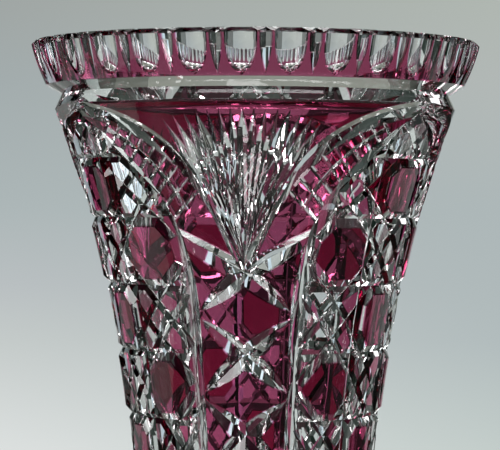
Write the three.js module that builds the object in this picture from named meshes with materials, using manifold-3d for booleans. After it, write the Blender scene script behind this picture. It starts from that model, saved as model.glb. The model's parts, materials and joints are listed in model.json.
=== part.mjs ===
// A tall trumpet vase in cut glass: a thick blank of clear crystal with a thin casing of ruby glass,
// and a pattern ground through the ruby into the crystal. The ruby that the cutting wheels leave
// stands as islands: a fluted collar, fan fields, hatched leaves, columns of lozenges and buttons.
// Millimetres, +Z up. The origin is the centre of the foot, on the surface that the vase stands on.
// Angles are degrees round the axis, from the front of the vase, which faces -Y, towards +X.
import * as THREE from 'three';
import { mergeVertices } from 'three/addons/utils/BufferGeometryUtils.js';
import Module from 'manifold-3d';

const wasm = await Module();
wasm.setup();

// Blank
const height = 300;
const rimRadius = 95;
const rimBevel = 1.4;
const collarHeight = 18.3;
const collarTaper = 6.2;
const coveHeight = 9.9;
const coveDepth = 2.8;
const coveDrop = 3.8;
const shoulderInset = 10;
const shoulderSlope = 0.386;
const shoulderPull = 90;
const waistRadius = 48;
const waistHeight = 56;
const waistPull = 23.5;
const ankleHeight = 8;
const ankleRadius = 43.5;
const instepRadius = 47;
const footRadius = 58;
const footEdge = 9;
const footSwell = 5;
const footBevel = 1.2;
const restWidth = 22;
const baseRecess = 3;
const wall = 8.5;
const floorThickness = 30;
const bowlRise = 14;
const casing = 1;
const seat = 0.3;
const facets = 30;

// Pattern
const panels = 3;
const collarFlutes = 30;
const fluteWidth = 12.9;
const fluteDepth = 2.3;
const fluteFoot = 2.2;
const slitWidth = 4.4;
const slitDepth = 1.2;
const slitFoot = 0.8;
const archFarWidth = 6.4;
const archNearWidth = 2.6;
const archDepth = 2.8;
const archTopDrop = 1.2;
const archEaveAngle = 38;
const archEaveDrop = 3.3;
const archKneeAngle = 20;
const archKneeDrop = 13.8;
const archFootAngle = 8.5;
const archFootDrop = 46;
const fanRays = 15;
const fanSpread = 23;
const fanDrop = 62.8;
const fanDepth = 2.5;
const fanTipDrop = 0.9;
const fanTipFall = 5;
const fanRootDepth = 0.75;
const fanFullWay = 0.75;
const fanClearDrop = 11;
const borderTopDrop = 3;
const borderEaveAngle = 40;
const borderEaveDrop = 23;
const borderKneeAngle = 23;
const borderKneeDrop = 42.5;
const borderAngle = 19.5;
const borderFootDrop = 85;
const borderFarWidth = 5.6;
const borderNearWidth = 2.4;
const borderDepth = 2.4;
const columnTopRise = 12;
const stars = 5;
const starDrop = 67.8;
const starFootHeight = 16.8;
const petalWidth = 6.4;
const petalDepth = 2.4;
const petalNeck = 2.4;
const petalMargin = 3;
const cellAngle = 23.3;
const cellColumns = 3;
const cellRows = 7;
const cellTopDrop = 21.7;
const cellTopHeight = 24.2;
const cellFootHeight = 6.1;
const cellGrooveWidth = 8.4;
const cellGrooveDepth = 2.4;
const cellRibWidth = 5.6;
const cellRibDepth = 2;
const slantWidth = 5;
const slantDepth = 2;
const slantPlace = 0.275;
const buttonCorner = 0.55;
const buttonBevel = 0.5;
const borderMargin = 5;
const hatchRows = 6;
const hatchStart = 0.32;
const hatchEnd = 0.88;
const hatchWidth = 1.2;
const hatchDepth = 0.6;
const footFlutes = 15;
const footFluteWidth = 12;
const footFluteDepth = 3;

const radians = THREE.MathUtils.degToRad;
const lerp = THREE.MathUtils.lerp;
const point = (across, up) => new THREE.Vector2(across, up);

// Sizes that follow from the ones above
const collarFoot = height - collarHeight;
const collarFootRadius = rimRadius - collarTaper;
const shoulder = collarFoot - coveHeight;
const shoulderRadius = rimRadius - shoulderInset;
const coveRadius = shoulderRadius - coveDepth;
const ankle = waistHeight - ankleHeight;
const instep = ankle - ankleHeight;
const panelAngle = 360 / panels;
const starPitch = (shoulder - starDrop - waistHeight - starFootHeight) / (stars - 1);
const cellHeight = (shoulder - cellTopDrop - cellTopHeight - waistHeight - cellFootHeight) / (cellRows - 1);

// The blank's outer line, from the foot's edge up to the rim
const footLine = new THREE.QuadraticBezierCurve(
  point(footRadius, footEdge),
  point(instepRadius, footEdge + footSwell),
  point(instepRadius, instep),
).getPoints(3);
const bodyLine = new THREE.CubicBezierCurve(
  point(waistRadius, waistHeight),
  point(waistRadius, waistHeight + waistPull),
  point(shoulderRadius - shoulderSlope * shoulderPull, shoulder - shoulderPull),
  point(shoulderRadius, shoulder),
).getPoints(6);
const collarLine = [
  point(collarFootRadius, collarFoot),
  point(rimRadius - rimBevel / 2, height - rimBevel * 3),
  point(rimRadius, height - rimBevel),
];

// A copy of a line moved towards the axis
const inset = (line, depth) => line.map(p => point(p.x - depth, p.y));

// The radius and the steepness of the outer line at a height
function outside(z) {
  const line = [...footLine, ...bodyLine, ...collarLine];
  const above = line.findIndex(p => p.y > z + 1e-6);
  const top = line[Math.max(1, above < 0 ? line.length - 1 : above)];
  const bottom = line[line.indexOf(top) - 1];
  const slope = (top.x - bottom.x) / (top.y - bottom.y);
  return { radius: bottom.x + slope * (z - bottom.y), slope };
}

// A place at a height and angle on the outside, moved out along the radius
function place(angle, z, out = 0) {
  const turn = radians(angle);
  const radius = outside(z).radius + out;
  return new THREE.Vector3(radius * Math.sin(turn), -radius * Math.cos(turn), z);
}

// The direction that the outside faces there
function facing(angle, z) {
  const turn = radians(angle);
  return new THREE.Vector3(Math.sin(turn), -Math.cos(turn), -outside(z).slope).normalize();
}

// A three.js geometry as a solid that can be cut and joined
function solid(geometry) {
  geometry.deleteAttribute('normal');
  geometry.deleteAttribute('uv');
  const merged = mergeVertices(geometry, 1e-4);
  const corners = merged.index.array;
  const triangles = [];
  for (let i = 0; i < corners.length; i += 3) {
    const [a, b, c] = corners.slice(i, i + 3);
    if (a !== b && b !== c && c !== a) triangles.push(a, b, c);
  }
  return new wasm.Manifold(new wasm.Mesh({
    numProp: 3,
    vertProperties: new Float32Array(merged.attributes.position.array),
    triVerts: new Uint32Array(triangles),
  }));
}

// A closed outline in (radius, height), turned round the axis with a facet facing the front
function revolve(outline) {
  const lathe = new THREE.LatheGeometry(outline, facets, Math.PI / facets);
  lathe.rotateX(Math.PI / 2);
  return solid(lathe);
}

// A closed solid through rings of points, each ring with as many points as the next
function skin(rings) {
  const count = rings[0].length;
  const index = [];
  for (let ring = 0; ring + 1 < rings.length; ring++) {
    for (let side = 0; side < count; side++) {
      const a = ring * count + side;
      const b = ring * count + (side + 1) % count;
      index.push(a, b, b + count, a, b + count, a + count);
    }
  }
  const last = (rings.length - 1) * count;
  for (let side = 1; side + 1 < count; side++) {
    index.push(0, side + 1, side, last, last + side, last + side + 1);
  }
  const geometry = new THREE.BufferGeometry().setFromPoints(rings.flat());
  geometry.setIndex(index);
  return solid(geometry);
}

// A groove ground along a line on the outside. Each stop has an angle, a height and a depth, and
// shape gives the wheel's outline at a depth as points (across, out) from its deepest point.
function grind(stops, shape) {
  const spots = stops.map(stop => place(stop.angle, stop.z));
  const rings = stops.map((stop, i) => {
    const ahead = spots[Math.min(i + 1, spots.length - 1)];
    const behind = spots[Math.max(i - 1, 0)];
    const out = facing(stop.angle, stop.z);
    const across = out.clone().cross(ahead.clone().sub(behind)).normalize();
    return shape(stop.depth).map(([side, lift]) => spots[i].clone()
      .addScaledVector(out, lift - stop.depth)
      .addScaledVector(across, side));
  });
  return skin(rings);
}

// A mitre wheel's V, whose two faces spread by so much for each millimetre up to above the surface.
// On a cut that runs down the vase, the first face is the one towards larger angles.
const clearance = 1.5;
const mitre = (first, second = first) => depth => {
  const reach = depth + clearance;
  return [[0, 0], [first * reach, reach], [-second * reach, reach]];
};
const leaning = (side, far, near) => (side > 0 ? mitre(far, near) : mitre(near, far));

// A hollowing wheel's round edge
const hollow = radius => () => {
  const steps = 3;
  const halfTurn = 45;
  const arc = [];
  for (let i = 0; i <= steps; i++) {
    const turn = radians(lerp(-halfTurn, halfTurn, i / steps));
    arc.push([radius * Math.sin(turn), radius * (1 - Math.cos(turn))]);
  }
  return arc;
};
const hollowRadius = (width, depth) => width * width / 8 / depth + depth / 2;

// Stops on a straight cut between two places, at the given ways along it, each with its depth
const touch = -0.05;
const straight = (from, to, depths) => depths.map(([way, depth]) => ({
  angle: lerp(from.angle, to.angle, way),
  z: lerp(from.z, to.z, way),
  depth,
}));

// Stops of an even cut up or down the body, one at each bend of its outer line
function upright(angle, low, high, depth) {
  const bends = bodyLine.map(p => p.y).filter(z => z > low + 1 && z < high - 1);
  return [low, ...bends, high].map(z => ({ angle, z, depth }));
}

// Stops of an even cut round the body, one at each facet's edge
function level(z, from, to, depth) {
  const pitch = 360 / facets;
  const stops = [{ angle: from, z, depth }];
  for (let angle = (Math.ceil(from / pitch + 0.5) - 0.5) * pitch; angle < to - 1; angle += pitch) {
    if (angle > from + 1) stops.push({ angle, z, depth });
  }
  stops.push({ angle: to, z, depth });
  return stops;
}

// The curves that a panel is laid out on, as angles from its middle and heights, from the apex that
// it shares with the next panel down towards the middle
const apex = panelAngle / 2;
const archCurve = new THREE.CubicBezierCurve(
  point(apex, shoulder - archTopDrop),
  point(archEaveAngle, shoulder - archEaveDrop),
  point(archKneeAngle, shoulder - archKneeDrop),
  point(archFootAngle, shoulder - archFootDrop),
);
const borderCurve = new THREE.CubicBezierCurve(
  point(apex, shoulder - borderTopDrop),
  point(borderEaveAngle, shoulder - borderEaveDrop),
  point(borderKneeAngle, shoulder - borderKneeDrop),
  point(borderAngle, shoulder - borderFootDrop),
);
const onCurve = (curve, way, side, centre) => {
  const at = curve.getPoint(way);
  return { angle: centre + side * at.x, z: at.y };
};

// The border's angle from its panel's middle, at a height
function borderAt(z) {
  if (z <= shoulder - borderFootDrop) return borderAngle;
  const line = borderCurve.getPoints(24);
  const below = line.findIndex(p => p.y <= z);
  const a = line[Math.max(below - 1, 0)];
  const b = line[Math.max(below, 1)];
  return lerp(a.x, b.x, (z - a.y) / (b.y - a.y));
}

const union = solids => solids.reduce((sum, next) => sum.add(next));
const biggest = whole => whole.decompose().reduce((a, b) => (a.volume() > b.volume() ? a : b));
const fronts = Array.from({ length: panels }, (_, i) => i * panelAngle);

// A block over the stretch of casing between two edges, which are functions of the way along them
function field(edgeA, edgeB, steps) {
  const reach = 12;
  const rings = [];
  for (let i = 0; i <= steps; i++) {
    const a = edgeA(i / steps);
    const b = edgeB(i / steps);
    rings.push([
      place(a.angle, a.z, -reach),
      place(b.angle, b.z, -reach),
      place(b.angle, b.z, reach),
      place(a.angle, a.z, reach),
    ]);
  }
  return skin(rings);
}

// Hollow flutes that scallop the collar's rim, with a pointed slit between each two
const aboveRim = height + clearance;
function fluteCuts() {
  const cuts = [];
  const pitch = 360 / collarFlutes;
  for (let i = 0; i < collarFlutes; i++) {
    const angle = i * pitch;
    const flute = straight({ angle, z: aboveRim }, { angle, z: collarFoot + fluteFoot },
      [[0, fluteDepth], [0.6, fluteDepth * 0.8], [1, touch]]);
    cuts.push(grind(flute, hollow(hollowRadius(fluteWidth, fluteDepth))));
  }
  return union(cuts);
}

// The slits go no deeper than the ruby
function slitCuts() {
  const cuts = [];
  const pitch = 360 / collarFlutes;
  for (let i = 0; i < collarFlutes; i++) {
    const angle = (i + 0.5) * pitch;
    const slit = straight({ angle, z: aboveRim }, { angle, z: collarFoot + slitFoot },
      [[0, slitDepth], [1, touch]]);
    cuts.push(grind(slit, mitre(slitWidth / 2 / slitDepth)));
  }
  return union(cuts);
}

// The long curved mitres that spring from the sides of a fan and meet those of the next panel
function archCuts(centre) {
  const steps = 8;
  return union([-1, 1].map(side => {
    const stops = [];
    for (let i = 0; i <= steps; i++) {
      const way = i / steps;
      const depth = archDepth * Math.min(1, 4 * way) * (1 - way ** 4) + touch;
      stops.push({ ...onCurve(archCurve, way, side, centre), depth });
    }
    return grind(stops, leaning(side, archFarWidth / archDepth, archNearWidth / archDepth));
  }));
}

// The mitres between a column and the cane work beside it
function borderCuts(centre) {
  const steps = 7;
  return union([-1, 1].map(side => {
    const stops = [];
    for (let i = 0; i <= steps; i++) {
      stops.push({ ...onCurve(borderCurve, i / steps, side, centre), depth: borderDepth });
    }
    const foot = waistHeight - clearance;
    stops.push(...upright(stops.at(-1).angle, foot, stops.at(-1).z, borderDepth).reverse().slice(1));
    return grind(stops, leaning(side, borderFarWidth / borderDepth, borderNearWidth / borderDepth));
  }));
}

// A fan of mitres that spring from one point and end in a crown of tips below the shoulder
function fanCuts(centre) {
  const root = { angle: centre, z: shoulder - fanDrop };
  const middle = (fanRays - 1) / 2;
  const pitchWidth = radians(fanSpread / middle) * shoulderRadius;
  const cuts = [];
  for (let i = 0; i < fanRays; i++) {
    const lean = (i - middle) / middle;
    const tip = { angle: centre + lean * fanSpread, z: shoulder - fanTipDrop - fanTipFall * lean ** 2 };
    const depths = [[0, fanRootDepth], [fanFullWay, fanDepth], [1, touch]];
    cuts.push(grind(straight(root, tip, depths), mitre(pitchWidth / 2 / (fanDepth - casing))));
  }
  return union(cuts);
}

// Two crossed mitres for each star, widest where they cross, ending short of the border. The top
// star's upper arms run on to the border, and part the column from the leaves above it.
function starCuts(centre) {
  const rise = (starPitch - petalNeck) / 2;
  const heights = Array.from({ length: stars }, (_, star) => shoulder - starDrop - star * starPitch);
  return union(heights.flatMap((z, star) => [-1, 1].map(side => {
    const short = borderAt(z - rise) - petalMargin;
    const long = star === 0 ? borderAt(z + rise) : short;
    const stops = [
      { angle: centre - side * short, z: z - rise, depth: touch },
      { angle: centre, z, depth: petalDepth },
      { angle: centre + side * long, z: z + rise, depth: star === 0 ? petalDepth * 0.7 : touch },
    ];
    return grind(stops, mitre(petalWidth / 2 / petalDepth));
  })));
}

// Heights of the level mitres that part the rows of cane work, and half the angle that a row takes
const rows = Array.from({ length: cellRows + 1 }, (_, row) => (
  shoulder - cellTopDrop - (row === 0 ? 0 : cellTopHeight + (row - 1) * cellHeight)
));
const halfPanel = z => panelAngle / 2 - borderAt(z);

// The cells of a panel. Every second one keeps a button of ruby, and the others are ground clear.
const cells = rows.slice(1).flatMap((low, row) => Array.from({ length: cellColumns }, (_, column) => {
  const high = rows[row];
  const angle = (column - (cellColumns - 1) / 2) * cellAngle;
  const room = halfPanel(high) - Math.abs(angle) + cellAngle / 2;
  const name = `${row + 1}${'abcdefgh'[column]}`;
  return { name, angle, low, high, room, clear: (row + column) % 2 === 0 };
}));

// Slanting mitres across a clear cell, two each way, that leave a lozenge in the middle of it
function slantCuts(centre, cell) {
  const left = centre + cell.angle - cellAngle / 2;
  const spot = (across, down) => ({
    angle: left + across * cellAngle,
    z: lerp(cell.high, cell.low, down),
  });
  const wheel = mitre(slantWidth / 2 / slantDepth);
  const depths = [[0, slantDepth], [1, slantDepth]];
  const near = slantPlace;
  const far = 1 - slantPlace;
  return [
    [spot(near, 1), spot(1, near)],
    [spot(0, far), spot(far, 0)],
    [spot(0, near), spot(far, 1)],
    [spot(near, 0), spot(1, far)],
  ].map(([from, to]) => grind(straight(from, to, depths), wheel));
}

// Level, upright and slanting mitres of the cane work in the panel between two columns
function caneCuts(centre) {
  const cuts = [];
  for (const z of rows) {
    const half = halfPanel(z);
    const stops = level(z, centre - half, centre + half, cellGrooveDepth);
    cuts.push(grind(stops, mitre(cellGrooveWidth / 2 / cellGrooveDepth)));
  }
  for (let column = 1; column < cellColumns; column++) {
    const offset = (column - cellColumns / 2) * cellAngle;
    const top = rows.find(z => halfPanel(z) > Math.abs(offset));
    const stops = upright(centre + offset, waistHeight - clearance, top + cellTopHeight * 0.4, cellRibDepth);
    cuts.push(grind(stops, mitre(cellRibWidth / 2 / cellRibDepth)));
  }
  for (const cell of cells) {
    if (cell.clear && cell.room > cellAngle) cuts.push(...slantCuts(centre, cell));
  }
  return union(cuts);
}

// Shallow hatching of a leaf: one line along it and several across, none through the ruby
function hatchCuts(centre, side) {
  const cuts = [];
  const wheel = mitre(hatchWidth / 2 / hatchDepth);
  const along = [];
  for (const way of [hatchStart, lerp(hatchStart, hatchEnd, 0.5), hatchEnd]) {
    const a = onCurve(archCurve, way, side, centre);
    const b = onCurve(borderCurve, way * 0.8, side, centre);
    along.push({ angle: lerp(a.angle, b.angle, 0.5), z: lerp(a.z, b.z, 0.5), depth: hatchDepth });
  }
  cuts.push(grind(along, wheel));
  for (let i = 0; i <= hatchRows; i++) {
    const way = lerp(hatchStart, hatchEnd, i / hatchRows);
    const a = onCurve(archCurve, way, side, centre);
    const b = onCurve(borderCurve, way * 0.8, side, centre);
    cuts.push(grind(straight(a, b, [[0, hatchDepth], [1, hatchDepth]]), wheel));
  }
  return union(cuts);
}

// Mitres that run up the foot from its edge and fade out on its swell
function footCuts() {
  const cuts = [];
  const pitch = 360 / footFlutes;
  for (let i = 0; i < footFlutes; i++) {
    const angle = i * pitch;
    const stops = [
      { angle, z: footEdge - clearance, depth: footFluteDepth },
      { angle, z: footLine[1].y, depth: footFluteDepth * 0.8 },
      { angle, z: footLine[2].y, depth: touch },
    ];
    cuts.push(grind(stops, mitre(footFluteWidth / 2 / footFluteDepth)));
  }
  return union(cuts);
}

const layer = line => revolve([...line, ...inset(line, casing).reverse(), line[0]]);
const bodyCasing = layer(bodyLine);
const collarCasing = layer(collarLine);
const footCasing = layer(footLine);
const flutes = fluteCuts();
const cutsOfFoot = footCuts();
const cutsOfPanel = fronts.map(centre => ({
  arch: archCuts(centre),
  border: borderCuts(centre),
  fan: fanCuts(centre),
  stars: starCuts(centre),
  cane: caneCuts(centre + panelAngle / 2),
}));

// The clear blank under the casing, with the mouth, the cavity and every cut in it
function crystalBody() {
  const under = casing + seat;
  const blank = revolve([
    point(0, baseRecess),
    point(footRadius - restWidth - baseRecess, baseRecess),
    point(footRadius - restWidth, 0),
    point(footRadius - footBevel, 0),
    point(footRadius, footBevel),
    point(footRadius, footEdge),
    ...inset(footLine, under),
    point(ankleRadius, ankle),
    ...inset(bodyLine, under),
    point(coveRadius, collarFoot - coveDrop),
    ...inset(collarLine, under),
    point(rimRadius - under - rimBevel, height),
    point(0, height),
  ]);
  const bowl = bodyLine.filter(p => p.y > floorThickness + bowlRise).map(p => point(p.x - wall, p.y));
  const cavity = revolve([
    point(0, floorThickness),
    point(bowl[0].x - bowlRise, floorThickness),
    point(bowl[0].x - bowlRise / 4, floorThickness + bowlRise / 2),
    ...bowl,
    point(rimRadius - wall, height),
    point(rimRadius - wall, height + clearance),
    point(0, height + clearance),
  ]);
  let body = blank.subtract(cavity).subtract(flutes).subtract(cutsOfFoot);
  for (const cuts of cutsOfPanel) {
    for (const cut of Object.values(cuts)) body = body.subtract(cut);
  }
  return body;
}

// Ruby over and round a fan, down to the arches on both sides of it
function fanField(centre) {
  const start = 0.06;
  const split = 0.62;
  const lower = way => {
    const part = 3 * way;
    if (part < 1) return onCurve(archCurve, lerp(start, split, part), -1, centre);
    if (part > 2) return onCurve(archCurve, lerp(split, start, part - 2), 1, centre);
    const edge = archCurve.getPoint(split).x;
    return { angle: centre + lerp(-edge, edge, part - 1), z: shoulder - fanClearDrop };
  };
  const upper = way => ({ angle: lower(way).angle, z: shoulder });
  return field(lower, upper, 12);
}

// Ruby between an arch and the border below it, down to the first star
function leafField(centre, side) {
  const arch = way => onCurve(archCurve, lerp(0.25, 1, way), side, centre);
  const border = way => onCurve(borderCurve, lerp(0.1, 0.8, way), side, centre);
  return side > 0 ? field(arch, border, 6) : field(border, arch, 6);
}

// Ruby down a column, between its borders, from a little above its top star
function columnField(centre) {
  const top = shoulder - starDrop + columnTopRise;
  const edge = side => way => {
    const z = lerp(top, waistHeight, way);
    return { angle: centre + side * borderAt(z), z };
  };
  return field(edge(-1), edge(1), 14);
}

// An eight-sided button left in a cell of the cane work, its sides sloped by the wheels
function button(centre, low, high) {
  const middle = (low + high) / 2;
  const radius = outside(middle).radius;
  const halfWidth = radians(cellAngle / 2) * radius - cellRibWidth / 2;
  const halfHeight = (high - low - cellGrooveWidth) / 2;
  const corner = buttonCorner * Math.min(halfWidth, halfHeight);
  const ring = (out, shrink) => {
    const across = halfWidth - shrink;
    const up = halfHeight - shrink;
    return [-across, corner - across, across - corner, across].map((x, i) => {
      const reach = i === 0 || i === 3 ? up - corner : up;
      const angle = centre + THREE.MathUtils.radToDeg(x / radius);
      return [place(angle, middle - reach, out), place(angle, middle + reach, out)];
    });
  };
  const inner = ring(-casing, 0);
  const outer = ring(0, buttonBevel);
  return skin(inner.map(([bottom, top], i) => [bottom, top, outer[i][1], outer[i][0]]));
}

const materials = {
  crystal: { color: 0xe3ecec, roughness: 0.02, metalness: 0 },
  ruby: { color: 0x7a1f45, roughness: 0.02, metalness: 0 },
};

const vase = new THREE.Group();

// A named mesh of a solid, in a material of its own, without the slivers that crossing cuts leave
const sliver = 0.1;
function add(name, whole, look) {
  const mesh = whole.asOriginal().simplify(sliver).getMesh();
  const geometry = new THREE.BufferGeometry();
  geometry.setAttribute('position', new THREE.BufferAttribute(new Float32Array(mesh.vertProperties), 3));
  geometry.setIndex(new THREE.BufferAttribute(new Uint32Array(mesh.triVerts), 1));
  geometry.computeVertexNormals();
  const piece = new THREE.Mesh(geometry, new THREE.MeshStandardMaterial(look));
  piece.name = name;
  vase.add(piece);
}

add('crystal_body', crystalBody(), materials.crystal);
add('ruby_collar', biggest(collarCasing.subtract(flutes).subtract(slitCuts())), materials.ruby);
add('ruby_foot', biggest(footCasing.subtract(cutsOfFoot)), materials.ruby);
fronts.forEach((centre, i) => {
  const cuts = cutsOfPanel[i];
  const fan = bodyCasing.intersect(fanField(centre)).subtract(cuts.arch).subtract(cuts.fan);
  add(`ruby_fan_${i + 1}`, biggest(fan), materials.ruby);
  for (const side of [-1, 1]) {
    const leaf = bodyCasing.intersect(leafField(centre, side))
      .subtract(cuts.arch)
      .subtract(cuts.border)
      .subtract(cuts.stars)
      .subtract(cuts.fan)
      .subtract(hatchCuts(centre, side));
    add(`ruby_leaf_${i + 1}_${side < 0 ? 'left' : 'right'}`, biggest(leaf), materials.ruby);
  }
  const column = bodyCasing.intersect(columnField(centre)).subtract(cuts.border).subtract(cuts.stars);
  add(`ruby_column_${i + 1}`, biggest(column.subtract(cuts.fan)), materials.ruby);

  for (const cell of cells) {
    if (cell.clear || cell.room < cellAngle - borderMargin) continue;
    const left = button(centre + panelAngle / 2 + cell.angle, cell.low, cell.high);
    add(`ruby_button_${i + 1}_${cell.name}`, left, materials.ruby);
  }
});

export default vase;
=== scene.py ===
# The looks of a cut crystal vase cased with ruby glass. The pieces are built as the glass is made:
# a round blank in two layers, and the grooves of the cutting wheels taken out of both of them.
# Sizes are millimetres and degrees here, and metres in every mesh. Angles run round the axis from
# the front of the vase, which faces -Y, towards +X.
import json
import math

import bpy
import numpy as np
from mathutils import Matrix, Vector
from mathutils.bvhtree import BVHTree

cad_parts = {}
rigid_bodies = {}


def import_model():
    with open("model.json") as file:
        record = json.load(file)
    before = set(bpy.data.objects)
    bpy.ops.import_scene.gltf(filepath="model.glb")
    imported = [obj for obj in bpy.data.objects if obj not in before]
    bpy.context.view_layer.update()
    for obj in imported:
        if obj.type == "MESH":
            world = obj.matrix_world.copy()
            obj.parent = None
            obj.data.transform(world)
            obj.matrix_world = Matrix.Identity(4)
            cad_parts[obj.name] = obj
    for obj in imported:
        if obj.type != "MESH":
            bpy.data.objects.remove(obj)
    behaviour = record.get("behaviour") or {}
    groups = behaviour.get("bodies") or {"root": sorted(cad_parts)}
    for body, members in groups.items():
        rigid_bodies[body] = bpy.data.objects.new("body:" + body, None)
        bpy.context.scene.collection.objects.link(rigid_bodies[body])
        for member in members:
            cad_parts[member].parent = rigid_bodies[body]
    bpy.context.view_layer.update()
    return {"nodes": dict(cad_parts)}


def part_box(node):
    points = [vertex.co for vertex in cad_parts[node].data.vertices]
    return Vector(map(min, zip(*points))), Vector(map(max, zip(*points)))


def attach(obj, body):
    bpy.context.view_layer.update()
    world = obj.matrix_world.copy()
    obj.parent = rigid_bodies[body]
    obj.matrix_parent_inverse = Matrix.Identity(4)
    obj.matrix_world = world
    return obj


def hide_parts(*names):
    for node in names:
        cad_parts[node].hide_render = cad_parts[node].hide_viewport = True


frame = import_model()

MM = 0.001


def box_of(node):
    """The lowest and highest corner of a solid, in millimetres."""
    low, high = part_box(node)
    return low / MM, high / MM


# Heights that the solids give
HEIGHT = box_of("crystal_body")[1].z
COLLAR_FOOT = box_of("ruby_collar")[0].z
SHOULDER = box_of("ruby_fan_1")[1].z
WAIST = box_of("ruby_column_1")[0].z
INSTEP = box_of("ruby_foot")[1].z
FOOT_EDGE = box_of("ruby_foot")[0].z

# The solids have flat sides. The round glass is drawn in so that it lies inside those flats.
SOLID_SIDES = 30
ROUND = math.cos(math.pi / SOLID_SIDES)

# The blank. A pull is how far the handle of a curve lies from the curve's end, and the slope is
# how much the radius grows with the height at the shoulder.
RIM_RADIUS = 95
RIM_BEVEL = 1.4
LIP_BEVEL = 1
MOUTH_LEAN = 1.6
MOUTH_DROP = 8
COLLAR_RADIUS = 88.8
COLLAR_PULL_IN = 1.5
COLLAR_PULL_DOWN = 8
COVE_RADIUS = 82.2
COVE = COLLAR_FOOT - 3.8
SHOULDER_RADIUS = 85
SHOULDER_SLOPE = 0.386
SHOULDER_PULL = 90
WAIST_RADIUS = 48
WAIST_PULL = 23.5
ANKLE_RADIUS = 43.5
ANKLE = (WAIST + INSTEP) / 2
INSTEP_RADIUS = 47
FOOT_RADIUS = 58
FOOT_SWELL = 5
FOOT_BEVEL = 1.2
REST_WIDTH = 22
BASE_RECESS = 3
WALL = 8.5
FLOOR = 30
AXIS_RADIUS = 0.5
CASING = 0.5
JOINT = 0.02
SEGMENTS = 240

# The layout. A drop is a height measured down from the shoulder.
PANELS = 3
PANEL = 360 / PANELS
BORDER_ANGLE = 19.5
BORDER_DROP = 85
STAR_DROP = 67.8
STAR_PITCH = 32.8
CELL = 23.3
CELL_COLUMNS = 3
CELL_HEIGHT = 27.3
CELL_TOP_HEIGHT = 24.2
CELL_TOP_DROP = 21.7
CANE_TOP = SHOULDER - 6

# The collar and the foot. A fade is the power by which a depth dies away along its groove. The depth
# of a slit follows a half wave, from this part of it on.
FLUTES = 30
FLUTE_WIDTH = 13.8
FLUTE_DEPTH = 2.3
FLUTE_FOOT = COLLAR_FOOT + 0.9
FLUTE_FADE = 3.4
SLIT_WIDTH = 5.4
SLIT_DEPTH = 1.6
SLIT_FOOT = COLLAR_FOOT + 0.2
SLIT_START = 0.3
FOOT_FLUTES = 15
FOOT_FLUTE_WIDTH = 12
FOOT_FLUTE_DEPTH = 3
FOOT_FLUTE_RISE = 18
FOOT_FLUTE_FADE = 1.5

# The two big mitres of a panel, with the widths of their two sides. An arch has the end part of its
# depth left at the foot of its curve.
ARCH_DEPTH = 4.2
ARCH_WIDTHS = 3, 4.4
ARCH_FADE = 4
ARCH_END = 0.5
BORDER_DEPTH = 4.2
BORDER_WIDTHS = 4.8, 2.4

# The fans. Every fourth ray is broad: (depth, width, how fast the depth falls off at the tip).
FAN_RAYS = 15
FAN_SPREAD = 23
FAN_DROP = 62.8
FAN_TIP_DROP = 0.9
FAN_TIP_FALL = 5
FAN_ROOT_DEPTH = 1.5
FAN_FULL_WAY = 0.5
FAN_BROAD_EVERY = 4
FAN_BROAD = 3, 9, 3.4
FAN_NARROW = 2, 7.2, 3

# The stars of the columns. Their arms end by a margin, in degrees, short of the borders. Only the
# upper arms of the top star reach them, with the end part of their depth left.
STAR_GAP = 1.4
ARM_DEPTH = 3
ARM_WIDTH = 9.6
ARM_MARGIN = 1.2
TOP_ARM_END = 0.7

# The cane work. The taper and the margin are in degrees, the rise of the ribs is a part of the top
# row's height, and the place of a slant is a part of a cell.
LEVEL_DEPTH = 2.4
LEVEL_WIDTH = 7
LEVEL_TAPER = 4
RIB_DEPTH = 2.5
RIB_WIDTH = 7.6
RIB_RISE = 0.4
SLANT_DEPTH = 2.4
SLANT_WIDTH = 6
SLANT_PLACE = 0.275
SLANT_MARGIN = 1.6
SLANT_FOOT = WAIST - 1
SLANT_FEWEST = 7
CLEAR_DEPTH = 1
PARTING = 0.2
PARTING_HEIGHT = 3

# The hatched leaves. A leaf takes the arch's whole curve and the border's down to the leaf end, and
# the lines lie between two parts of its way.
LEAF_END = 0.8
HATCH_DEPTH = 1
HATCH_WIDTH = 2.2
HATCH_LINES = 9
HATCH_ACROSS = 0.3, 0.86
HATCH_ALONG = 0.3, 0.88

# A cutter goes on by the clearance beyond the glass. Where its groove fades out it ends just above
# the glass: by the edge lift on the collar and the level grooves, and by the tip lift elsewhere.
CLEARANCE = 2
EDGE_LIFT = 0.02
TIP_LIFT = 0.05


def bezier(points, steps):
    """Points on a curve with one or two handles, as an array of (across, up)."""
    way = np.linspace(0, 1, steps + 1)[:, None]
    points = [np.array(p, float) for p in points]
    while len(points) > 1:
        points = [a + (b - a) * way for a, b in zip(points, points[1:])]
    return points[0]


FOOT_LINE = bezier([
    (FOOT_RADIUS, FOOT_EDGE),
    (INSTEP_RADIUS, FOOT_EDGE + FOOT_SWELL),
    (INSTEP_RADIUS, INSTEP),
], steps=24)
BODY_LINE = bezier([
    (WAIST_RADIUS, WAIST),
    (WAIST_RADIUS, WAIST + WAIST_PULL),
    (SHOULDER_RADIUS - SHOULDER_SLOPE * SHOULDER_PULL, SHOULDER - SHOULDER_PULL),
    (SHOULDER_RADIUS, SHOULDER),
], steps=96)
COLLAR_LINE = bezier([
    (COLLAR_RADIUS, COLLAR_FOOT),
    (RIM_RADIUS - COLLAR_PULL_IN, HEIGHT - COLLAR_PULL_DOWN),
    (RIM_RADIUS, HEIGHT - RIM_BEVEL),
], steps=12)
OUTER_LINE = np.concatenate([FOOT_LINE, BODY_LINE, COLLAR_LINE])

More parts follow.
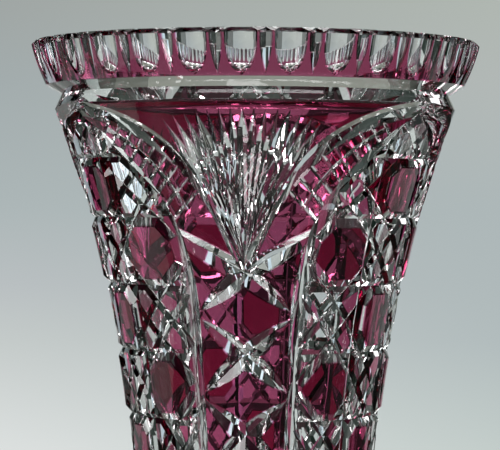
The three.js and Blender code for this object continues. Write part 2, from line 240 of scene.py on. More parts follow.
# The two curves that a panel is laid out on, in (angle from its middle, height)
ARCH_CURVE = bezier([
    (PANEL / 2, SHOULDER - 1.2),
    (38, SHOULDER - 3.3),
    (20, SHOULDER - 13.8),
    (8.5, SHOULDER - 46),
], steps=60)
BORDER_CURVE = bezier([
    (PANEL / 2, SHOULDER - 3),
    (42, SHOULDER - 14),
    (BORDER_ANGLE, SHOULDER - 38),
    (BORDER_ANGLE, SHOULDER - BORDER_DROP),
], steps=60)

# Heights of the stars, and of the level grooves between the rows of cane work, from the top
STARS = np.arange(SHOULDER - STAR_DROP, WAIST + STAR_PITCH / 2, -STAR_PITCH).tolist()
TOP_ROW = SHOULDER - CELL_TOP_DROP
LOWER_ROWS = np.arange(TOP_ROW - CELL_TOP_HEIGHT, WAIST + LEVEL_WIDTH / 2, -CELL_HEIGHT).tolist()
ROWS = [TOP_ROW, *LOWER_ROWS]


def radius_at(z):
    """The radius of the outside at a height."""
    return float(np.interp(z, OUTER_LINE[:, 1], OUTER_LINE[:, 0]))


def on_side(angle, z, out=0.0):
    """A place on the outside, or that far out from it."""
    turn = math.radians(angle)
    radius = radius_at(z) + out
    return Vector((radius * math.sin(turn), -radius * math.cos(turn), z))


def facing(angle, z):
    """The way the outside faces there."""
    turn = math.radians(angle)
    slope = radius_at(z + 0.5) - radius_at(z - 0.5)
    return Vector((math.sin(turn), -math.cos(turn), -slope)).normalized()


def border_at(z):
    """The border's angle from the middle of its panel."""
    return float(np.interp(z, BORDER_CURVE[::-1, 1], BORDER_CURVE[::-1, 0]))


def half_cane(z):
    """Half of the angle that the cane work takes between two borders."""
    return PANEL / 2 - border_at(z)


def along(curve, way):
    """The place on a curve at a part of its way."""
    ways = np.linspace(0, 1, len(curve))
    return float(np.interp(way, ways, curve[:, 0])), float(np.interp(way, ways, curve[:, 1]))


def make_object(name, points, faces):
    """A mesh object, with its round sizes drawn in to the flats of the solids."""
    mesh = bpy.data.meshes.new(name)
    scale = Vector((MM * ROUND, MM * ROUND, MM))
    mesh.from_pydata([p * scale for p in points], [], faces)
    made = bpy.data.objects.new(name, mesh)
    bpy.context.scene.collection.objects.link(made)
    return made


def turned(name, outline, ring=True):
    """An outline of (radius, height) turned round the axis: a closed ring, or a solid with flat ends."""
    count = len(outline)
    points = []
    faces = []
    for segment in range(SEGMENTS):
        turn = math.tau * segment / SEGMENTS
        start = segment * count
        ahead = (segment + 1) % SEGMENTS * count
        for i, (radius, z) in enumerate(outline):
            points.append(Vector((radius * math.sin(turn), -radius * math.cos(turn), z)))
            if ring or i + 1 < count:
                j = (i + 1) % count
                faces.append([start + i, ahead + i, ahead + j, start + j])
    if not ring:
        faces.append([segment * count for segment in range(SEGMENTS)][::-1])
        faces.append([segment * count + count - 1 for segment in range(SEGMENTS)])
    return make_object(name, points, faces)


def skin(name, rings):
    """A closed solid through rings of points."""
    count = len(rings[0])
    faces = []
    for ring in range(len(rings) - 1):
        for side in range(count):
            a = ring * count + side
            b = ring * count + (side + 1) % count
            faces.append([a, b, b + count, a + count])
    faces.append(list(range(count))[::-1])
    faces.append([(len(rings) - 1) * count + i for i in range(count)])
    return make_object(name, [p for ring in rings for p in ring], faces)


# The wheels. Each gives the points of its section, in (across, up) from where it is deepest.

def mitre(widths, depth):
    """The V of a mitre wheel that is so wide on each side when it is so deep."""
    def section(now):
        reach = now + CLEARANCE
        return [(0, 0), (widths[0] / depth * reach, reach), (-widths[1] / depth * reach, reach)]
    return section


def even(width, depth):
    """A mitre wheel with two sides alike."""
    return mitre((width / 2, width / 2), depth)


def leaning(side, widths, depth):
    """A mitre wheel that leans, with the side away from the fan or column first."""
    return mitre(widths if side > 0 else widths[::-1], depth)


def hollow(width, depth):
    """The round of a hollowing wheel that is so wide when it is so deep."""
    radius = width ** 2 / 8 / depth + depth / 2
    turns = np.radians(np.linspace(-60, 60, 17))
    arc = [(radius * math.sin(turn), radius * (1 - math.cos(turn))) for turn in turns]
    return lambda now: arc


def groove(path, wheel):
    """What a wheel takes away along a path of (angle, height, depth)."""
    spots = [on_side(angle, z) for angle, z, _ in path]
    rings = []
    for i, (angle, z, depth) in enumerate(path):
        travel = spots[min(i + 1, len(spots) - 1)] - spots[max(i - 1, 0)]
        out = facing(angle, z)
        across = out.cross(travel).normalized()
        rings.append([spots[i] + out * (up - depth) + across * side for side, up in wheel(depth)])
    return skin("cut", rings)


def straight(start, end, depth_at, steps=24):
    """A path between two places of (angle, height), with a depth for each part of the way."""
    ways = np.linspace(0, 1, steps + 1)
    return [
        (start[0] + (end[0] - start[0]) * way, start[1] + (end[1] - start[1]) * way, depth_at(way))
        for way in ways
    ]


# The cuts. A centre is the angle of the middle of a fan or of the cane work.

def cut_flutes():
    """The round flutes of the collar, from the rim down."""
    for i in range(FLUTES):
        angle = i * 360 / FLUTES
        path = straight(
            (angle, HEIGHT + CLEARANCE), (angle, FLUTE_FOOT),
            lambda way: FLUTE_DEPTH * (1 - way ** FLUTE_FADE) - EDGE_LIFT,
        )
        groove(path, hollow(FLUTE_WIDTH, FLUTE_DEPTH))


def cut_slits():
    """The pointed slits between the flutes, deepest a little below the rim."""
    for i in range(FLUTES):
        angle = (i + 0.5) * 360 / FLUTES
        path = straight(
            (angle, HEIGHT + CLEARANCE), (angle, SLIT_FOOT),
            lambda way: SLIT_DEPTH * math.sin(math.pi * (SLIT_START + (1 - SLIT_START) * way)) - EDGE_LIFT,
        )
        groove(path, even(SLIT_WIDTH, SLIT_DEPTH))


def cut_foot():
    """The flutes of the foot, from its edge up."""
    for i in range(FOOT_FLUTES):
        angle = i * 360 / FOOT_FLUTES
        path = straight(
            (angle, FOOT_EDGE - CLEARANCE), (angle, FOOT_EDGE + FOOT_FLUTE_RISE),
            lambda way: FOOT_FLUTE_DEPTH * (1 - way ** FOOT_FLUTE_FADE) - TIP_LIFT,
        )
        groove(path, even(FOOT_FLUTE_WIDTH, FOOT_FLUTE_DEPTH))


def cut_arches(centre):
    """The arch over a fan. Below its curve it runs on beside the fan, ever shallower, to the top star."""
    ways = np.linspace(0, 1, len(ARCH_CURVE))
    foot_angle, foot_z = ARCH_CURVE[-1]
    for side in (-1, 1):
        curve = [
            (centre + side * angle, z, ARCH_DEPTH * (1 - (1 - ARCH_END) * way ** ARCH_FADE))
            for way, (angle, z) in zip(ways, ARCH_CURVE)
        ]
        beside_fan = straight(
            (centre + side * foot_angle, foot_z), (centre + side, STARS[0]),
            lambda way: ARCH_DEPTH * ARCH_END * (1 - way / 2), steps=12,
        )
        groove(curve + beside_fan[1:], leaning(side, ARCH_WIDTHS, ARCH_DEPTH))


def cut_borders(centre):
    """The mitres that part a fan and its column from the cane work on both sides."""
    for side in (-1, 1):
        curve = [(centre + side * angle, z, BORDER_DEPTH) for angle, z in BORDER_CURVE]
        edge = centre + side * BORDER_ANGLE
        upright = straight(
            (edge, SHOULDER - BORDER_DROP), (edge, WAIST - CLEARANCE), lambda way: BORDER_DEPTH, steps=32,
        )
        groove(curve + upright[1:], leaning(side, BORDER_WIDTHS, BORDER_DEPTH))


def cut_fan(centre):
    """The rays of a fan. The middle one starts in the top star."""
    middle = (FAN_RAYS - 1) / 2
    for i in range(FAN_RAYS):
        lean = (i - middle) / middle
        tip = centre + lean * FAN_SPREAD, SHOULDER - FAN_TIP_DROP - FAN_TIP_FALL * lean ** 2
        root = centre, SHOULDER - (STAR_DROP if lean == 0 else FAN_DROP)
        broad = (i - middle) % FAN_BROAD_EVERY == 0
        full, width, fall = FAN_BROAD if broad else FAN_NARROW

        def depth_at(way):
            from_root = FAN_ROOT_DEPTH + (full - FAN_ROOT_DEPTH) * way / FAN_FULL_WAY
            from_tip = full * fall * (1 - way)
            return min(from_root, full, from_tip) - TIP_LIFT

        groove(straight(root, tip, depth_at), even(width, full))


def cut_stars(centre):
    """Two crossed arms a star. The upper arms of the top star run on to the borders."""
    rise = (STAR_PITCH - STAR_GAP) / 2
    for z in STARS:
        short = border_at(z - rise) - ARM_MARGIN
        far, end = (border_at(z + rise), TOP_ARM_END) if z == STARS[0] else (short, 0)
        for side in (-1, 1):
            lower = straight(
                (centre - side * short, z - rise), (centre, z),
                lambda way: ARM_DEPTH * (1 - (1 - way) ** 2) - TIP_LIFT, steps=12,
            )
            upper = straight(
                (centre, z), (centre + side * far, z + rise),
                lambda way: ARM_DEPTH * (1 - (1 - end) * way ** 2) - TIP_LIFT, steps=12,
            )
            groove(lower + upper[1:], even(ARM_WIDTH, ARM_DEPTH))


def cut_levels(centre):
    """The level grooves of the cane work, which taper off before the borders."""
    for z in ROWS:
        half = half_cane(z)

        def depth_at(way):
            from_border = min(way, 1 - way) * 2 * half
            return LEVEL_DEPTH * min(1, from_border / LEVEL_TAPER) - EDGE_LIFT

        path = straight((centre - half, z), (centre + half, z), depth_at, steps=80)
        groove(path, even(LEVEL_WIDTH, LEVEL_DEPTH))


def cut_ribs(centre):
    """The upright grooves between the columns of cells, up into the first row that reaches them."""
    for offset in (-CELL / 2, CELL / 2):
        top = next(z for z in ROWS if half_cane(z) > abs(offset)) + CELL_TOP_HEIGHT * RIB_RISE
        path = straight(
            (centre + offset, WAIST - CLEARANCE), (centre + offset, top), lambda way: RIB_DEPTH, steps=90,
        )
        groove(path, even(RIB_WIDTH, RIB_DEPTH))


def row_place(row):
    """The height at a row counted from the top, part rows included."""
    heights = [ROWS[0] + CELL_HEIGHT, *ROWS, ROWS[-1] - CELL_HEIGHT]
    return float(np.interp(row, np.arange(-1, len(heights) - 1), heights))


def cut_slants(centre):
    """Slanting grooves, two for each diagonal of the clear cells, that take the corners off the buttons."""
    for fall in (-1, 1):
        first = -2 * CELL_COLUMNS if fall > 0 else 1
        for diagonal in range(first, len(ROWS) + CELL_COLUMNS + 1, 2):
            for shift in (-SLANT_PLACE, SLANT_PLACE):
                path = []
                for column in np.linspace(-0.5, CELL_COLUMNS + 0.5, 81):
                    row = diagonal + shift + fall * column
                    z = row_place(row)
                    offset = (column - CELL_COLUMNS / 2) * CELL
                    in_height = -1 < row < len(ROWS) and SLANT_FOOT < z < CANE_TOP
                    if in_height and abs(offset) < half_cane(z) - SLANT_MARGIN:
                        path.append((centre + offset, z, SLANT_DEPTH))
                if len(path) >= SLANT_FEWEST:
                    groove(path, even(SLANT_WIDTH, SLANT_DEPTH))


def cut_hatch(centre, side):
    """The lines that cut a leaf into squares: one along its middle, the others across."""
    def between(way, part):
        """The place at a part of the way from the arch across to the border."""
        arch = along(ARCH_CURVE, way)
        border = along(BORDER_CURVE, way * LEAF_END)
        return arch[0] + (border[0] - arch[0]) * part, arch[1] + (border[1] - arch[1]) * part

    lines = [[between(way, 0.5) for way in np.linspace(*HATCH_ALONG, 13)]]
    for way in np.linspace(*HATCH_ACROSS, HATCH_LINES):
        lines.append([between(way, part) for part in np.linspace(0, 1, 9)])
    for line in lines:
        path = [(centre + side * angle, z, HATCH_DEPTH) for angle, z in line]
        groove(path, even(HATCH_WIDTH, HATCH_DEPTH))


def slab(low, high, left, right, rows=15, columns=17):
    """A block through the casing between two heights and two edges, which are functions of height."""
    rings = []
    for z in np.linspace(low, high, rows):
        angles = np.linspace(left(z), right(z), columns)
        inner = [on_side(angle, z, -CLEAR_DEPTH) for angle in angles[::-1]]
        outer = [on_side(angle, z, CLEARANCE) for angle in angles]
        rings.append(inner + outer)
    return skin("clear", rings)


def clear_cells(centre):
    """Blocks over the cells of cane work that are ground clear of ruby, and where two fans part."""
    slab(ROWS[0], CANE_TOP, lambda z: centre - half_cane(z), lambda z: centre + half_cane(z))
    slab(
        SHOULDER - PARTING_HEIGHT, SHOULDER + PARTING_HEIGHT,
        lambda z: centre - PARTING, lambda z: centre + PARTING,
    )
    bounds = [*ROWS, WAIST - CLEARANCE]
    for row, (high, low) in enumerate(zip(bounds, bounds[1:])):
        for column in range(CELL_COLUMNS):
            if (row + column) % 2 == 0:
                middle = (column - (CELL_COLUMNS - 1) / 2) * CELL
                slab(
                    low, high,
                    lambda z: centre + max(middle - CELL / 2, -half_cane(z)),
                    lambda z: centre + min(middle + CELL / 2, half_cane(z)),
                )


def gather(name):
    """Moves the loose cutters of that name into a collection of their own."""
    group = bpy.data.collections.new(name)
    bpy.context.scene.collection.children.link(group)
    for made in list(bpy.context.scene.collection.objects):
        if made.name.split(".")[0] == name:
            bpy.context.scene.collection.objects.unlink(made)
            group.objects.link(made)
    return group


def take_away(piece, group):
    """Cuts every solid of a group out of a piece."""
    cut = piece.modifiers.new("cut", "BOOLEAN")
    cut.solver = "MANIFOLD"
    cut.operation = "DIFFERENCE"
    cut.operand_type = "COLLECTION"
    cut.collection = group
    bpy.context.view_layer.update()
    graph = bpy.context.evaluated_depsgraph_get()
    cut_mesh = bpy.data.meshes.new_from_object(piece.evaluated_get(graph))
    piece.modifiers.clear()
    piece.data = cut_mesh


def remove_group(group):
    """Deletes a collection with the cutters in it."""
    for made in list(group.objects):
        bpy.data.objects.remove(made)
    bpy.data.collections.remove(group)


# The blank, in two layers

def inset(line, depth):
    """A line moved in towards the axis."""
    return [(float(r) - depth, float(z)) for r, z in line]


def cove_face(radius):
    """The height of the cove's upper face at a radius."""
    return COVE + (radius - COVE_RADIUS) * (COLLAR_FOOT - COVE) / (COLLAR_RADIUS - COVE_RADIUS)


def shoulder_face(radius):
    """The height of the cove's lower face at a radius."""
    return COVE - (radius - COVE_RADIUS) * (COVE - SHOULDER) / (SHOULDER_RADIUS - COVE_RADIUS)


def crystal_blank():
    """The clear glass, from the middle of the base round to the middle of the bowl."""
    under = CASING + JOINT
    mouth = RIM_RADIUS - WALL
    bowl_radius = WAIST_RADIUS - WALL
    bowl = bezier([(AXIS_RADIUS, FLOOR), (bowl_radius, FLOOR), (bowl_radius, WAIST)], steps=16)
    return turned("crystal", [
        (AXIS_RADIUS, BASE_RECESS),
        (FOOT_RADIUS - REST_WIDTH - BASE_RECESS, BASE_RECESS),
        (FOOT_RADIUS - REST_WIDTH, 0),
        (FOOT_RADIUS - FOOT_BEVEL, 0),
        (FOOT_RADIUS, FOOT_BEVEL),
        (FOOT_RADIUS, FOOT_EDGE),
        *inset(FOOT_LINE, under),
        (ANKLE_RADIUS, ANKLE),
        *inset(BODY_LINE, under),
        (SHOULDER_RADIUS - under, shoulder_face(SHOULDER_RADIUS - under)),
        (COVE_RADIUS, COVE),
        (COLLAR_RADIUS - under, cove_face(COLLAR_RADIUS - under)),
        *inset(COLLAR_LINE[1:], under),
        (RIM_RADIUS - under, HEIGHT - RIM_BEVEL + under),
        (RIM_RADIUS - RIM_BEVEL, HEIGHT),
        (mouth + LIP_BEVEL, HEIGHT),
        (mouth, HEIGHT - LIP_BEVEL),
        (mouth - MOUTH_LEAN, HEIGHT - MOUTH_DROP),
        *inset(BODY_LINE[::-2], WALL),
        *inset(bowl[-2::-1], 0),
    ], ring=False)


def casing(name, line, low, high):
    """A ring of ruby glass over a line of the outside, with its lower and upper inner corners."""
    return turned(name, [*inset(line, 0), high, *inset(line[-2:0:-1], CASING), low])


def collar_casing():
    return casing(
        "collar", COLLAR_LINE,
        (COLLAR_RADIUS - CASING, cove_face(COLLAR_RADIUS - CASING)),
        (RIM_RADIUS - CASING, HEIGHT - RIM_BEVEL + CASING),
    )


def body_casing():
    return casing(
        "body", BODY_LINE,
        (WAIST_RADIUS - CASING, WAIST),
        (SHOULDER_RADIUS - CASING, shoulder_face(SHOULDER_RADIUS - CASING)),
    )


def foot_casing():
    return casing(
        "foot", FOOT_LINE + np.array([0, JOINT]),
        (FOOT_RADIUS - CASING, FOOT_EDGE + JOINT),
        (INSTEP_RADIUS - CASING, INSTEP),
    )


# What the cutting leaves of the casing: one piece for each island of ruby. Bits that are smaller
# than dust, or astray from every solid by their mean distance at some samples, are left out.

DUST = 1.2
ASTRAY = 4
SAMPLES = 40


def split(piece):
    """The separate bits of a piece, each as points and faces."""
    mesh = piece.data
    count = len(mesh.vertices)
    ends = np.zeros(len(mesh.edges) * 2, np.int32)
    mesh.edges.foreach_get("vertices", ends)
    ends = ends.reshape(-1, 2)

    # Points that hang together come to share the lowest of their numbers
    label = np.arange(count)
    while True:
        low = np.minimum(label[ends[:, 0]], label[ends[:, 1]])
        spread = label.copy()
        np.minimum.at(spread, ends[:, 0], low)
        np.minimum.at(spread, ends[:, 1], low)
        spread = spread[spread]
        if (spread == label).all():
            break
        label = spread

    places = np.zeros(count * 3, np.float32)
    mesh.vertices.foreach_get("co", places)
    places = places.reshape(-1, 3)
    bits = {}
    for face in mesh.polygons:
        corners = list(face.vertices)
        bits.setdefault(int(label[corners[0]]), []).append(corners)
    result = []
    for faces in bits.values():
        used = sorted({corner for face in faces for corner in face})
        index = {corner: i for i, corner in enumerate(used)}
        result.append((places[used], [[index[corner] for corner in face] for face in faces]))
    return result


def tree_of(*made):
    """A search tree over the faces of some objects."""
    points = []
    faces = []
    for one in made:
        base = len(points)
        points += [v.co.copy() for v in one.data.vertices]
        faces += [[base + corner for corner in face.vertices] for face in one.data.polygons]
    return BVHTree.FromPolygons(points, faces)


def join_bits(node, bits):
    """The glass of one solid, made of all the bits that stand for it."""
    points = []
    faces = []
    for places, own in bits:
        faces += [[corner + len(points) for corner in face] for face in own]
        points += places.tolist()
    mesh = bpy.data.meshes.new(node)
    mesh.from_pydata(points, [], faces)
    made = bpy.data.objects.new("glass_" + node, mesh)
    bpy.context.scene.collection.objects.link(made)
    return made


def sort_bits(piece, nodes):
    """Gives each bit of a piece to the solid that it lies nearest to."""
    trees = {node: tree_of(frame["nodes"][node]) for node in nodes}
    found = {}
    for places, faces in split(piece):
        if np.ptp(places, axis=0).max() < DUST * MM:
            continue
        some = [Vector(place) for place in places[::max(1, len(places) // SAMPLES)].tolist()]
        far = {n: sum(t.find_nearest(place)[3] for place in some) for n, t in trees.items()}
        nearest = min(far, key=far.get)
        if far[nearest] / len(some) < ASTRAY * MM:
            found.setdefault(nearest, []).append((places, faces))
    bpy.data.objects.remove(piece)
    return [(join_bits(node, bits), node) for node, bits in found.items()]


cut_flutes()
cut_slits()
cut_foot()
for i in range(PANELS):
    fan_centre = i * PANEL
    cane_centre = fan_centre + PANEL / 2
    cut_arches(fan_centre)
    cut_borders(fan_centre)
    cut_fan(fan_centre)
    cut_stars(fan_centre)
    cut_levels(cane_centre)
    cut_ribs(cane_centre)
    cut_slants(cane_centre)
cuts = gather("cut")
for i in range(PANELS):
    for side in (-1, 1):
        cut_hatch(i * PANEL, side)
    clear_cells(i * PANEL + PANEL / 2)
hatch = gather("cut")
clear = gather("clear")

crystal = crystal_blank()
collar = collar_casing()
body = body_casing()
foot = foot_casing()
for piece in (crystal, collar, body, foot):
    take_away(piece, cuts)
for piece in (crystal, body):
    take_away(piece, hatch)
    take_away(piece, clear)
for group in (cuts, hatch, clear):
    remove_group(group)

crystal.name = "glass_crystal_body"
pieces = [(crystal, "crystal_body")]
pieces += sort_bits(collar, ["ruby_collar"])
pieces += sort_bits(foot, ["ruby_foot"])
others = ("crystal_body", "ruby_collar", "ruby_foot")
pieces += sort_bits(body, [node for node in frame["nodes"] if node not in others])


# Materials

RUBY = (0.7, 0.05, 0.36, 1)
RUBY_DENSITY = 5200
SEAM_REACH = 0.06
SHARP_EDGE = 24


def new_node(tree, kind, inputs=None, **settings):
    """A shader node with some of its inputs and settings."""
    node = tree.nodes.new("ShaderNode" + kind)
    for name, value in settings.items():
        setattr(node, name, value)
    for name, value in (inputs or {}).items():
        node.inputs[name].default_value = value
    return node


def new_material(name):
    """A material with nothing in it but its output."""
    material = bpy.data.materials.new(name)
    material.use_nodes = True
    tree = material.node_tree
    tree.nodes.clear()
    return material, tree, new_node(tree, "OutputMaterial")


def lead_glass(tree):
    """Polished lead crystal, with the faint unevenness that the polishing leaves."""
    glass = new_node(tree, "BsdfPrincipled", {
        "Base Color": (1, 1, 1, 1),
        "Roughness": 0,
        "IOR": 1.545,
        "Transmission Weight": 1,
    })
    place = new_node(tree, "TexCoord")
    drawn = new_node(tree, "Mapping", {"Scale": (1, 1, 0.35)})
    waves = new_node(tree, "TexNoise", {"Scale": 90, "Detail": 1})
    bump = new_node(tree, "Bump", {"Strength": 0.2, "Distance": 0.0004})
    tree.links.new(place.outputs["Object"], drawn.inputs["Vector"])
    tree.links.new(drawn.outputs["Vector"], waves.inputs["Vector"])
    tree.links.new(waves.outputs["Fac"], bump.inputs["Height"])
    tree.links.new(bump.outputs["Normal"], glass.inputs["Normal"])
    return glass.outputs["BSDF"]


def crystal_material():
    """The clear glass."""
    material, tree, out = new_material("crystal_glass")
    tree.links.new(lead_glass(tree), out.inputs["Surface"])
    return material


def seam_material():
    """The crystal's side of the seam, where it is fused to the ruby and nothing shows."""
    material, tree, out = new_material("crystal_seam")
    unseen = new_node(tree, "BsdfTransparent")
    tree.links.new(unseen.outputs["BSDF"], out.inputs["Surface"])
    return material


def ruby_material():
    """Ruby glass, with no surface on the faces that are marked as its side of the seam."""
    material, tree, out = new_material("ruby_glass")
    fused = new_node(tree, "Attribute", attribute_name="seam")
    unseen = new_node(tree, "BsdfTransparent")
    surface = new_node(tree, "MixShader")
    tree.links.new(fused.outputs["Fac"], surface.inputs["Fac"])
    tree.links.new(lead_glass(tree), surface.inputs[1])
    tree.links.new(unseen.outputs["BSDF"], surface.inputs[2])
    tree.links.new(surface.outputs["Shader"], out.inputs["Surface"])
    colour = new_node(tree, "VolumeAbsorption", {"Color": RUBY, "Density": RUBY_DENSITY})
    tree.links.new(colour.outputs["Volume"], out.inputs["Volume"])
    return material


def dress(piece, other_layer, *materials):
    """Gives a piece its glass, and marks the faces where it is fused to the other layer."""
    mesh = piece.data
    mesh.materials.clear()
    for material in materials:
        mesh.materials.append(material)
    reach = SEAM_REACH * MM
    fused = np.array([other_layer.find_nearest(f.center, reach)[0] is not None for f in mesh.polygons])
    mark = mesh.attributes.new("seam", "FLOAT", "FACE")
    mark.data.foreach_set("value", fused.astype(np.float32))
    if len(materials) > 1:
        mesh.polygons.foreach_set("material_index", fused.astype(np.int32))
    mesh.shade_smooth()
    mesh.set_sharp_from_angle(angle=math.radians(SHARP_EDGE))


ruby = [piece for piece, node in pieces[1:]]
crystal_tree = tree_of(crystal)
dress(crystal, tree_of(*ruby), crystal_material(), seam_material())
ruby_glass = ruby_material()
for piece in ruby:
    dress(piece, crystal_tree, ruby_glass)
for piece, node in pieces:
    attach(piece, "root")
    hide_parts(node)


# The view of the photograph. Its rows and columns are counted from the top left. The eye row is
# level with the camera, and a pixel is so many millimetres at the vase's axis.

PHOTO_WIDTH = 500
PHOTO_HEIGHT = 450
EYE_ROW = 212
AXIS_COLUMN = 254.5
FOCAL_PIXELS = 2333
PIXEL = 0.426
SENSOR = 36
VIEW_ANGLE = 3.5
VIEW_DISTANCE = 994
VIEW_HEIGHT = 228.9
VIEW_ROLL = 0.28


def place_camera():
    """The camera, with the photograph's lens. Its distance is drawn in as the round glass is."""
    data = bpy.data.cameras.new("camera")
    data.sensor_width = SENSOR
    data.lens = SENSOR * FOCAL_PIXELS / PHOTO_WIDTH
    data.clip_start = 0.05
    camera = bpy.data.objects.new("camera", data)
    bpy.context.scene.collection.objects.link(camera)
    bpy.context.scene.camera = camera
    turn = math.radians(VIEW_ANGLE)
    rightward = Vector((math.cos(turn), math.sin(turn), 0))
    camera.location = Vector((math.sin(turn), -math.cos(turn), 0)) * VIEW_DISTANCE * ROUND * MM
    camera.location.z = VIEW_HEIGHT * MM
    aim = rightward * (PHOTO_WIDTH / 2 - AXIS_COLUMN) * PIXEL * MM
    aim.z = (VIEW_HEIGHT - (PHOTO_HEIGHT / 2 - EYE_ROW) * PIXEL) * MM
    camera.rotation_euler = (aim - camera.location).to_track_quat("-Z", "Y").to_euler()
    camera.rotation_euler.rotate_axis("Z", math.radians(VIEW_ROLL))


place_camera()


# Studio

def srgb(r, g, b):
    """A colour of the photograph as a shader takes it."""
    return tuple(((shade / 255 + 0.055) / 1.055) ** 2.4 for shade in (r, g, b)) + (1,)


PALE = (1, 1, 1, 1)
WINDOW = (1.5, 1.65, 1.8, 1)
DIM = (0.35, 0.36, 0.35, 1)
DARK = (0.015, 0.03, 0.022, 1)
BLACK = (0.006, 0.008, 0.008, 1)
NONE = (0, 0, 0, 1)

# The backdrop's colours down its left and its right side, by the row of the photograph, and how
# far to the left and right of the world's Y axis these sides lie, as parts of the distance
LEFT_SIDE = [
    (450, (220, 224, 223)), (340, (196, 202, 201)), (285, (185, 191, 193)),
    (205, (172, 182, 183)), (85, (163, 172, 173)), (0, (160, 166, 164)),
]
RIGHT_SIDE = [
    (450, (195, 205, 202)), (340, (178, 188, 189)), (285, (175, 185, 186)),
    (205, (173, 183, 184)), (85, (178, 184, 182)), (0, (176, 183, 177)),
]
SIDES = -0.168, 0.046

# The room below and above the backdrop, by how high one looks: 0 is straight down, 1 straight up
FLOORWARD = srgb(225, 227, 226)
CEILING = [(0.65, srgb(150, 155, 150)), (0.8, srgb(142, 146, 136)), (0.93, srgb(150, 152, 148)), (1, PALE)]

# Upright strips of the room, in degrees round from straight behind the vase. Each goes on to the
# next. The strip behind the vase leaves the backdrop as it is, and overhead they all fade out.
STRIPS = [
    (-176, DIM), (-150, BLACK), (-128, DIM), (-112, WINDOW), (-84, DARK), (-52, PALE), (-46, BLACK),
    (-31, WINDOW), (-27, DARK), (-20, DIM), (-13, PALE), (13, DIM), (20, DARK), (27, WINDOW),
    (40, BLACK), (53, DARK), (84, PALE), (100, BLACK), (126, DIM), (150, BLACK),
]
STRIPS_FADE = 0.74, 0.84


def ramp(tree, place, stops, interpolation="LINEAR"):
    """The colour at a place from 0 to 1, between stops of (place, colour)."""
    node = new_node(tree, "ValToRGB")
    node.color_ramp.interpolation = interpolation
    elements = node.color_ramp.elements
    while len(elements) < len(stops):
        elements.new(0.5)
    for element, (at, colour) in zip(elements, stops):
        element.position = at
        element.color = colour
    tree.links.new(place, node.inputs["Fac"])
    return node.outputs["Color"]


def share(tree, value, low, high):
    """How far a value has come from low to high, from 0 to 1."""
    node = new_node(tree, "MapRange", {"From Min": low, "From Max": high})
    tree.links.new(value, node.inputs["Value"])
    return node.outputs["Result"]


def mixed(tree, factor, a, b, blend="MIX"):
    """Two colours mixed by a factor."""
    node = new_node(tree, "Mix", data_type="RGBA", blend_type=blend)
    tree.links.new(factor, node.inputs["Factor"])
    tree.links.new(a, node.inputs["A"])
    tree.links.new(b, node.inputs["B"])
    return node.outputs["Result"]


def backdrop(tree, up, shades):
    """The colours up one side of the backdrop, and of the room below and above it."""
    seen = [(0.5 + (EYE_ROW - row) / FOCAL_PIXELS / 2, srgb(*shade)) for row, shade in shades]
    return ramp(tree, up, [(0, FLOORWARD), *seen, *CEILING])


def bearing(angle):
    """The place on the radial gradient of an angle round from straight behind the vase."""
    return (0.75 + angle / 360) % 1


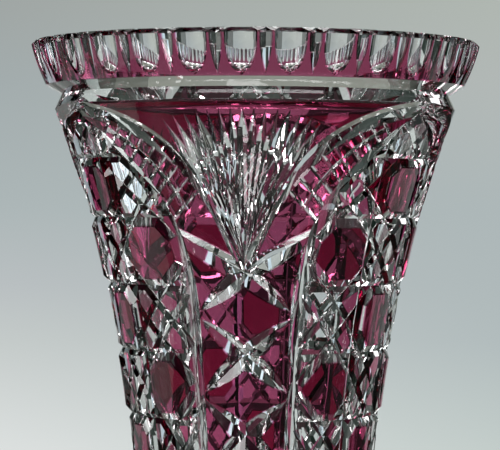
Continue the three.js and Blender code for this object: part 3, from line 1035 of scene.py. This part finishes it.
def build_world():
    """The grey backdrop all round, behind strips that darken or brighten it as a room does."""
    world = bpy.data.worlds.new("studio")
    bpy.context.scene.world = world
    world.use_nodes = True
    tree = world.node_tree
    tree.nodes.clear()
    look = new_node(tree, "TexCoord").outputs["Generated"]
    parts = new_node(tree, "SeparateXYZ")
    tree.links.new(look, parts.inputs["Vector"])
    up = share(tree, parts.outputs["Z"], -1, 1)
    across = share(tree, parts.outputs["X"], *SIDES)
    wall = mixed(tree, across, backdrop(tree, up, LEFT_SIDE), backdrop(tree, up, RIGHT_SIDE))

    around = new_node(tree, "TexGradient", gradient_type="RADIAL")
    tree.links.new(look, around.inputs["Vector"])
    stops = sorted((bearing(angle), colour) for angle, colour in STRIPS)
    strips = ramp(tree, around.outputs["Fac"], stops, "CONSTANT")
    fade_from, fade_to = STRIPS_FADE
    strength = ramp(tree, up, [(0, PALE), (fade_from, PALE), (fade_to, NONE)])

    room = new_node(tree, "Background")
    out = new_node(tree, "OutputWorld")
    tree.links.new(mixed(tree, strength, wall, strips, "MULTIPLY"), room.inputs["Color"])
    tree.links.new(room.outputs["Background"], out.inputs["Surface"])


def disc(name, middle, radius, z, colour, roughness, corners=128):
    """A round sheet that the vase stands on."""
    mesh = bpy.data.meshes.new(name)
    turns = [math.tau * i / corners for i in range(corners)]
    rim = [(middle[0] + radius * math.cos(turn), middle[1] + radius * math.sin(turn), z) for turn in turns]
    mesh.from_pydata(rim, [], [list(range(corners))])
    sheet = bpy.data.objects.new(name, mesh)
    bpy.context.scene.collection.objects.link(sheet)
    material, tree, out = new_material(name)
    matt = new_node(tree, "BsdfPrincipled", {"Base Color": colour, "Roughness": roughness})
    tree.links.new(matt.outputs["BSDF"], out.inputs["Surface"])
    mesh.materials.append(material)


def softbox(name, place, size, power, aim=(0, 0, 0.2)):
    """A rectangular lamp that is turned to the vase."""
    data = bpy.data.lights.new(name, "AREA")
    data.shape = "RECTANGLE"
    data.size, data.size_y = size
    data.energy = power
    lamp = bpy.data.objects.new(name, data)
    bpy.context.scene.collection.objects.link(lamp)
    lamp.location = place
    lamp.rotation_euler = (Vector(aim) - lamp.location).to_track_quat("-Z", "Y").to_euler()


# Places and sizes of the studio are in metres
build_world()
disc("pale_floor", (0, 0), 1.1, -0.001, srgb(196, 204, 202), 0.7)
# The dark disc under the vase is painted shade: a dark sheet that stands for the dim surroundings, which
# the glass shows in its dark facets.
disc("painted_shade_disc", (0.12, -0.05), 0.64, -0.00005, (0.018, 0.03, 0.025, 1), 0.4)
softbox("softbox_above", (0.1, -0.3, 1.6), (1.0, 0.8), 14)
softbox("softbox_left", (-1.2, -0.8, 0.9), (0.35, 0.9), 7)
softbox("softbox_back_right", (1.0, 1.1, 0.8), (0.3, 0.9), 6)

scene = bpy.context.scene
scene.view_settings.view_transform = "Standard"
scene.cycles.max_bounces = 40
scene.cycles.transmission_bounces = 32
scene.cycles.glossy_bounces = 12
scene.cycles.transparent_max_bounces = 64
